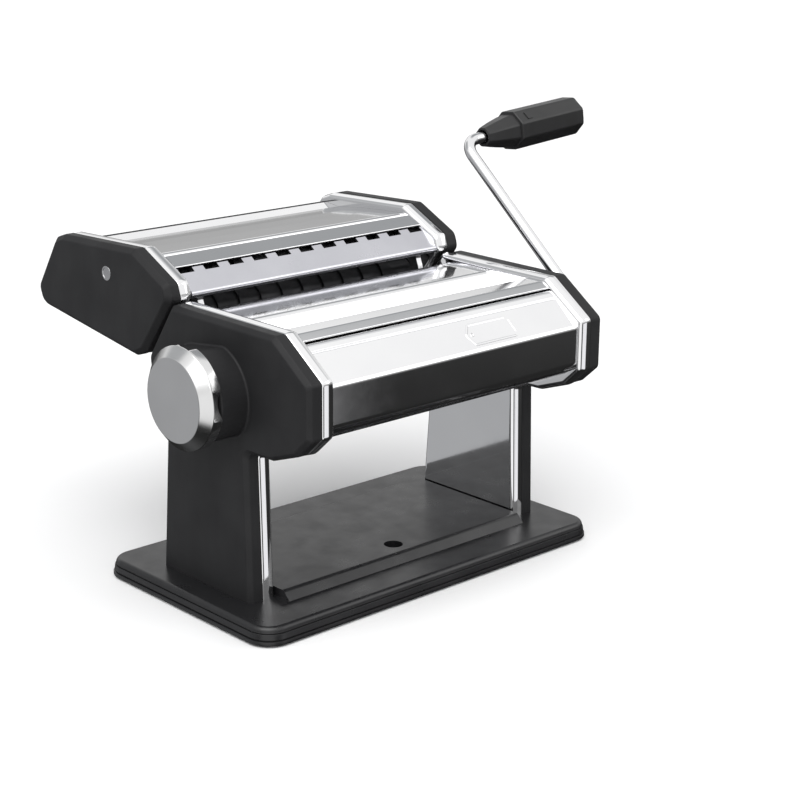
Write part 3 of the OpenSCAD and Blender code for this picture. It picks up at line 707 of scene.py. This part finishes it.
piece("head_comb_plate", comb_plate(), "cutter_front_plate", 40)


# ---- crank ----


def crank_axes():
    """Origin on the drive axis, bend at the grip, direction of the grip, normal of the crank."""
    foot = Vector((0, *DRIVE))
    bend = Vector(JOINT["grip_turn"]["pos_m"]) / MM
    along = Vector(JOINT["grip_turn"]["axis"]).normalized()
    arm = Vector((0, bend.y - foot.y, bend.z - foot.z)).normalized()
    return foot, bend, along, EX.cross(arm)


# crank: bend radius of the rod, its length past the outer bend, and where its collar begins
BEND_R = 11.0
ROD_END = 84.0
COLLAR_X = CAP_X + 1.5


def crank_bar():
    """Bent rod with a collar and a flattened tip that goes into the roller."""
    start, bend_at, along, side = crank_axes()
    n = 40
    rings = []

    def ring(centre, tangent, r, flat=None):
        across = side.cross(tangent).normalized()
        points = []
        for k in range(n):
            a = 2 * math.pi * k / n
            p = (across * math.cos(a) + side * math.sin(a)) * r
            if flat is not None:
                p.y = max(-flat, min(flat, p.y))
            points.append(tuple(centre + p))
        rings.append(points)

    # along X from the collar, radius, and half the width across the flats of the tip
    for x, r, flat in (
        (-18, 3.3, 3.0),
        (-17.6, 3.7, 3.2),
        (-9.4, 3.7, 3.2),
        (-9.2, 4.0, None),
        (0.3, 4.0, None),
        (0.35, 4.9, None),
        (0.6, 5.2, None),
        (2.0, 5.2, None),
        (2.35, 4.9, None),
        (2.4, ROD_R + 0.5, None),
        (2.9, ROD_R, None),
    ):
        ring(start + EX * (COLLAR_X + x), EX, r, flat)
    corner = Vector((bend_at.x, start.y, start.z))
    far = bend_at + along * ROD_END
    path = [start + EX * (COLLAR_X + 3), corner, bend_at, far]
    for i in (1, 2):
        before = (path[i] - path[i - 1]).normalized()
        after = (path[i + 1] - path[i]).normalized()
        turn = before.angle(after)
        cut = BEND_R * math.tan(turn / 2)
        begin = path[i] - before * cut
        inward = (after - before * before.dot(after)).normalized()
        steps = 14
        for k in range(steps + 1):
            t = turn * k / steps
            centre = begin + before * BEND_R * math.sin(t) + inward * BEND_R * (1 - math.cos(t))
            ring(centre, before * math.cos(t) + inward * math.sin(t), ROD_R)
    ring(far - along * 0.5, along, ROD_R)
    ring(far, along, ROD_R - 0.5)
    s = Shell()
    a, b = s.loft(rings)
    s.flat(a)
    s.flat(b)
    return s


piece("crank_bar", crank_bar(), "crank_rod")


# grip, measured from the bend: start of the nose, start of the barrel, end; and its corner radius
NOSE, BARREL, GRIP_END = 15.5, 36.5, 92.0
GRIP_R = 10.8


def grip_barrel():
    """Cone nose, then an octagonal barrel with softened edges and a chamfered end."""
    start, pos, along, side = crank_axes()
    across = side.cross(along).normalized()
    apothem = GRIP_R * math.cos(math.pi / 8)
    octagon = circle((0, 0), GRIP_R, 8)
    octagon = [Matrix.Rotation(math.pi / 8, 2) @ Vector(p) for p in octagon]
    soft = rounded(octagon, 2.2, 5)

    def ring(z, size, round_share=0.0):
        """The octagon at a distance along the grip, blended with a circle by round_share."""
        points = []
        for u, v in soft:
            here = math.hypot(u, v) / apothem
            k = size * (here * (1 - round_share) + round_share) / math.hypot(u, v)
            points.append(tuple(pos + along * z + across * (u * k) + side * (v * k)))
        return points

    outer = [
        ring(NOSE + 2.4, 3.9, 1),
        ring(NOSE, 3.9, 1),
        ring(NOSE, 4.7, 1),
        ring(NOSE + 0.15, 5.0, 1),
        ring(NOSE + 0.6, 5.25, 1),
        ring(NOSE + 8.0, 7.0, 1),
        ring(NOSE + 15.0, 8.3, 1),
        ring(BARREL - 1.0, 9.0, 1),
        ring(BARREL - 0.1, 9.1, 1),
        ring(BARREL, 9.3, 0.6),
        ring(BARREL + 0.15, apothem - 0.25, 0.1),
        ring(BARREL + 0.5, apothem, 0),
        ring(GRIP_END - 4.6, apothem, 0),
        ring(GRIP_END - 4.1, apothem - 0.12, 0),
        ring(GRIP_END - 0.5, apothem - 2.9, 0),
        ring(GRIP_END - 0.1, apothem - 3.2, 0),
        ring(GRIP_END, apothem - 3.8, 0),
    ]
    s = Shell()
    mouth, tail = s.loft(outer)
    s.flat(tail)
    bore = s.loft([ring(NOSE + 2.4, ROD_R + 0.08, 1), ring(GRIP_END - 7, ROD_R + 0.08, 1)])
    s.flat(mouth, bore[0])
    s.flat(bore[1])
    return s


piece("grip_barrel", grip_barrel(), "crank_grip")


# ---- thickness knob ----


# hollows in the edge of the knob: radius, how far their centres lie outside it, turn, soft blend
DIP_R, DIP_OUT, DIP_TURN, DIP_SOFT = 7.0, 2.9, math.radians(-3), 1.6


def knob_skirt():
    """Grip ring with four hollows, set slightly inside the knob's face."""
    lo, hi = box_mm("knob_body")
    rim_r = box_mm("knob_cap")[1].y - SHAFT[0]
    radius = rim_r - 0.3
    dip_at = rim_r + DIP_OUT

    def edge(angle, shrink):
        """Distance from the axis to the rim, blended softly where a hollow begins."""
        best = radius - shrink
        for q in range(4):
            a = (angle - DIP_TURN - math.pi / 2 * q + math.pi) % (2 * math.pi) - math.pi
            under = (DIP_R + shrink) ** 2 - (dip_at * math.sin(a)) ** 2
            if abs(a) < 0.6 and under > 0:
                dip = dip_at * math.cos(a) - math.sqrt(under)
                gap = max(DIP_SOFT - abs(best - dip), 0) / DIP_SOFT
                best = min(best, dip) - gap * gap * DIP_SOFT / 4
        return best

    n = 240

    def ring(x, shrink):
        points = []
        for k in range(n):
            a = 2 * math.pi * k / n
            r = edge(a, shrink)
            points.append((x, SHAFT[0] + r * math.cos(a), SHAFT[1] + r * math.sin(a)))
        return points

    s = Shell()
    back, front = s.loft(
        [
            ring(hi.x, 0.7),
            ring(hi.x - 0.2, 0.25),
            ring(hi.x - 0.7, 0),
            ring(lo.x + 0.6, 0),
            ring(lo.x + 0.2, 0.15),
            ring(lo.x, 0.6),
        ]
    )
    bore = s.tube(circle(SHAFT, SHAFT_R + 0.1), hi.x, hi.x - 2)
    recess = s.tube(circle(SHAFT, SHAFT_HUB_R), hi.x - 2, lo.x)
    s.flat(back, bore[0])
    s.flat(recess[0], bore[1])
    s.flat(front, recess[1])
    return s


def knob_face():
    """Polished cap with a wide bevel round a flat face, hollow at the back for the hub."""
    lo, hi = box_mm("knob_cap")
    r = hi.y - SHAFT[0]
    depth = hi.x - lo.x
    flat_r = 18.0
    # distance from the back, and radius
    profile = [
        (0.0, r - 0.6),
        (0.08, r - 0.2),
        (0.22, r - 0.02),
        (0.42, r),
        (0.62, r - 0.05),
        (0.9, r - 0.32),
        (depth - 0.35, flat_r + 0.75),
        (depth - 0.12, flat_r + 0.45),
        (depth, flat_r),
        (depth, 12.0),
        (depth, 5.0),
    ]
    s = Shell()
    back, face = s.loft([at_x(circle(SHAFT, rad, 120), hi.x - x) for x, rad in profile])
    s.flat(face)
    recess = s.tube(circle(SHAFT, SHAFT_HUB_R), hi.x, lo.x + 1.2)
    s.flat(back, recess[0])
    s.flat(recess[1])
    return s


piece("knob_skirt", knob_skirt(), "knob_body")
piece("knob_face", knob_face(), "knob_cap")


# ---- base ----


# base: corner radius, rolled shoulder, and the front and back of the raised panel
BASE_CORNER = 12.0
SHOULDER_R = 2.3
PANEL_Y = (-27.5, 52.0)


def base_body():
    """Stepped slab with a rolled shoulder and a raised panel between the legs.

    It is pierced by the clamp hole and has round seats for the feet underneath.
    """
    lo, hi = BASE_LO, BASE_HI
    mid_y = (lo.y + hi.y) / 2

    def ring(z, d):
        w, h = (hi.x - lo.x) / 2 - BASE_CORNER, (hi.y - lo.y) / 2 - BASE_CORNER
        r = BASE_CORNER - d
        points = []
        for q, (sx, sy) in enumerate(((1, 1), (-1, 1), (-1, -1), (1, -1))):
            for k in range(13):
                a = math.pi / 2 * (q + k / 12)
                points.append((sx * w + r * math.cos(a), mid_y + sy * h + r * math.sin(a), z))
        return points

    # height and inset of each line of the stepped edge, from the bottom up
    steps = [(lo.z, 0.7), (lo.z + 0.2, 0.2), (lo.z + 0.6, 0.0), (2.5, 0.0), (2.8, 0.12), (2.9, 0.4)]
    steps += [(2.9, 1.1), (3.3, 1.1), (3.3, 0.7), (3.5, 0.55), (5.7, 0.75), (5.95, 0.9)]
    steps += [(5.95, 1.6), (6.3, 1.6), (6.3, 1.25), (6.5, 1.2)]
    steps += [(DECK_Z - SHOULDER_R * (1 - b), 1.3 + SHOULDER_R * a) for a, b in arc_steps(6)]
    s = Shell()
    bottom, deck = s.loft([ring(z, d) for z, d in steps])

    panel_x = IN_X - 1
    rise = hi.z - DECK_Z
    y0, y1 = PANEL_Y
    corners = [(-panel_x, y0), (panel_x, y0), (panel_x, y1), (-panel_x, y1)]
    panel_foot = s.ring([(x, y, DECK_Z) for x, y in corners])
    s.flat(deck, panel_foot)
    soft = 1.2
    shoulder = [
        (y0 + rise * 0.78, DECK_Z + rise * 0.78),
        (y0 + rise * 0.93, DECK_Z + rise * 0.9),
        (y0 + rise + 0.5, hi.z - 0.06),
        (y0 + rise + soft, hi.z),
        (y1 - rise - soft, hi.z),
        (y1 - rise - 0.5, hi.z - 0.06),
        (y1 - rise * 0.93, DECK_Z + rise * 0.9),
        (y1 - rise * 0.78, DECK_Z + rise * 0.78),
    ]
    left = [panel_foot[0], *s.ring(at_x(shoulder, -panel_x)), panel_foot[3]]
    right = [panel_foot[1], *s.ring(at_x(shoulder, panel_x)), panel_foot[2]]
    top = len(shoulder) // 2
    for k in range(len(left) - 1):
        if k != top:
            s.faces.append((left[k], right[k], right[k + 1], left[k + 1]))
    s.faces.append(tuple(left))
    s.faces.append(tuple(right))
    hole = circle((CLAMP_SPOT.x, CLAMP_SPOT.y), CLAMP_R, 48)
    shaft_top = s.ring([(x, y, hi.z) for x, y in hole])
    shaft_foot = s.ring([(x, y, lo.z) for x, y in hole])
    s.skin([shaft_foot, shaft_top])
    s.flat([left[top], right[top], right[top + 1], left[top + 1]], shaft_top)

    pads = []
    for x, y in PAD_SPOTS:
        rim = circle((x, y), PAD_R, 48)
        a, b = s.loft([[(*p, lo.z) for p in rim], [(*p, PAD_TOP) for p in rim]])
        s.flat(b)
        pads.append(a)
    s.flat(bottom, shaft_foot, *pads)
    return s


def islands(node, apart=20):
    """Centres and radii, seen from above, of the separate round bodies of a CAD node."""
    mesh = frame["nodes"][node].data
    spots = {}
    for v in mesh.vertices:
        p = v.co / MM
        for key in spots:
            if math.dist((p.x, p.y), key) < apart:
                spots[key].append((p.x, p.y))
                break
        else:
            spots[(p.x, p.y)] = [(p.x, p.y)]
    out = []
    for points in spots.values():
        xs, ys = [p[0] for p in points], [p[1] for p in points]
        out.append(((min(xs) + max(xs)) / 2, (min(ys) + max(ys)) / 2, (max(xs) - min(xs)) / 2))
    return out


CLAMP = next(m for m in RECORD["mounts"] if m["name"] == "clamp_hole")
CLAMP_SPOT = Vector(CLAMP["pos_m"]) / MM
CLAMP_R = CLAMP["dims"]["r_mm"]
PADS = islands("base_feet")
PAD_SPOTS = [(x, y) for x, y, r in PADS]
PAD_R = PADS[0][2]
PAD_TOP = box_mm("base_feet")[1].z
piece("base_body", base_body(), "base")


# ---- light, floor and camera ----


def studio():
    """World: plain white to the camera, but shaded where it lights the machine.

    There it is bright above and dark below, with soft grey and white regions.
    """
    world = bpy.data.worlds.new("studio")
    bpy.context.scene.world = world
    world.use_nodes = True
    tree = world.node_tree
    tree.nodes.clear()
    out = tree.nodes.new("ShaderNodeOutputWorld")
    coords = tree.nodes.new("ShaderNodeTexCoord")
    split = tree.nodes.new("ShaderNodeSeparateXYZ")
    tree.links.new(coords.outputs["Generated"], split.inputs["Vector"])
    ramp = tree.nodes.new("ShaderNodeValToRGB")
    stops = [(0.0, 0.015), (0.36, 0.025), (0.47, 0.12), (0.51, 0.38), (0.58, 0.46), (0.635, 0.95)]
    stops.append((0.9, 1.0))
    while len(ramp.color_ramp.elements) < len(stops):
        ramp.color_ramp.elements.new(0.5)
    for element, (spot, value) in zip(ramp.color_ramp.elements, stops):
        element.position = spot
        element.color = (value, value, value, 1)

    def toward(direction, low, high):
        """0 where the world direction is far from the given one, 1 where it is near."""
        dot = tree.nodes.new("ShaderNodeVectorMath")
        dot.operation = "DOT_PRODUCT"
        tree.links.new(coords.outputs["Generated"], dot.inputs[0])
        dot.inputs[1].default_value = Vector(direction).normalized()
        near = tree.nodes.new("ShaderNodeMapRange")
        near.interpolation_type = "SMOOTHSTEP"
        near.inputs["From Min"].default_value = low
        near.inputs["From Max"].default_value = high
        tree.links.new(dot.outputs["Value"], near.inputs["Value"])
        return near.outputs["Result"]

    def lay(below, grey, share):
        mix = tree.nodes.new("ShaderNodeMix")
        mix.data_type = "RGBA"
        tree.links.new(share, mix.inputs["Factor"])
        tree.links.new(below, mix.inputs["A"])
        mix.inputs["B"].default_value = (*grey, 1)
        return mix.outputs["Result"]

    rise = tree.nodes.new("ShaderNodeMapRange")
    rise.inputs["From Min"].default_value = -1
    tree.links.new(split.outputs["Z"], rise.inputs["Value"])
    tree.links.new(rise.outputs["Result"], ramp.inputs["Fac"])
    # what stands round the machine and shows in its polished parts: direction, grey, soft edge
    room = ramp.outputs["Color"]
    for direction, grey, edge in (
        ((-0.68, 0.68, -0.28), (0.40, 0.405, 0.415), (0.60, 0.90)),
        ((-0.27, 0.75, 0.60), (0.46, 0.47, 0.48), (0.90, 0.97)),
        ((-0.68, -0.62, -0.20), (1.0, 1.0, 1.0), (0.80, 0.92)),
        ((0.40, -0.87, -0.28), (0.90, 0.90, 0.92), (0.958, 0.988)),
        ((0.67, 0.38, 0.64), (0.36, 0.37, 0.38), (0.93, 0.985)),
    ):
        room = lay(room, grey, toward(direction, *edge))
    seen = tree.nodes.new("ShaderNodeBackground")
    seen.inputs["Color"].default_value = (1, 1, 1, 1)
    lit = tree.nodes.new("ShaderNodeBackground")
    tree.links.new(room, lit.inputs["Color"])
    path = tree.nodes.new("ShaderNodeLightPath")
    mix = tree.nodes.new("ShaderNodeMixShader")
    tree.links.new(path.outputs["Is Camera Ray"], mix.inputs["Fac"])
    tree.links.new(lit.outputs["Background"], mix.inputs[1])
    tree.links.new(seen.outputs["Background"], mix.inputs[2])
    tree.links.new(mix.outputs["Shader"], out.inputs["Surface"])


def area_light(name, place, target, size, power):
    data = bpy.data.lights.new(name, "AREA")
    data.shape = "RECTANGLE"
    data.size, data.size_y = size
    data.energy = power
    obj = bpy.data.objects.new(name, data)
    bpy.context.collection.objects.link(obj)
    obj.location = place
    obj.rotation_mode = "QUATERNION"
    obj.rotation_quaternion = (Vector(target) - Vector(place)).to_track_quat("-Z", "Y")
    return obj


def sun_light(name, toward, power, spread):
    data = bpy.data.lights.new(name, "SUN")
    data.energy = power
    data.angle = math.radians(spread)
    obj = bpy.data.objects.new(name, data)
    bpy.context.collection.objects.link(obj)
    obj.rotation_mode = "QUATERNION"
    obj.rotation_quaternion = Vector(toward).to_track_quat("Z", "Y")
    return obj


def floor():
    """Pale paper that does not show in the polished parts."""
    n = Nodes("floor_paper")
    n.link(
        n.mix(n.spread(n.noise(3), 0, 1), (0.86, 0.86, 0.865), (0.90, 0.90, 0.90)),
        n.shader.inputs["Base Color"],
    )
    n.shader.inputs["Roughness"].default_value = 0.9
    mesh = bpy.data.meshes.new("floor")
    mesh.from_pydata([(-6, -6, 0), (6, -6, 0), (6, 6, 0), (-6, 6, 0)], [], [(0, 1, 2, 3)])
    mesh.materials.append(n.material)
    obj = bpy.data.objects.new("floor", mesh)
    bpy.context.collection.objects.link(obj)
    obj.visible_glossy = False


# camera: where it stands in metres, its direction and tilt in degrees, its lens in millimetres
CAMERA_AT = (-0.55368, -0.61184, 0.32915)
AZIMUTH, ELEVATION, ROLL = -42.98, 16.75, 0.55
LENS = 83.213


def camera():
    azimuth, elevation, roll = math.radians(AZIMUTH), math.radians(ELEVATION), math.radians(ROLL)
    data = bpy.data.cameras.new("camera")
    data.lens = LENS
    data.sensor_width = 36
    obj = bpy.data.objects.new("camera", data)
    bpy.context.collection.objects.link(obj)
    back = Vector(
        (
            math.sin(azimuth) * math.cos(elevation),
            -math.cos(azimuth) * math.cos(elevation),
            math.sin(elevation),
        )
    )
    right = Vector((0, 0, 1)).cross(back).normalized()
    up = back.cross(right)
    tilted = right * math.cos(roll) + up * math.sin(roll)
    top = up * math.cos(roll) - right * math.sin(roll)
    turn = Matrix((tilted, top, back)).transposed()
    obj.matrix_world = Matrix.Translation(CAMERA_AT) @ turn.to_4x4()
    data.clip_start = 0.05
    bpy.context.scene.camera = obj


studio()
floor()
camera()
sun_light("sky_glow", (-0.45, -0.35, 0.82), 1.1, 70)
area_light("key", (-0.9, -0.5, 1.5), (0, 0, 0.1), (1.2, 1.2), 8)
area_light("fill", (1.2, -1.0, 1.0), (0, 0, 0.1), (1.0, 1.0), 3)
bpy.context.scene.view_settings.view_transform = "Standard"
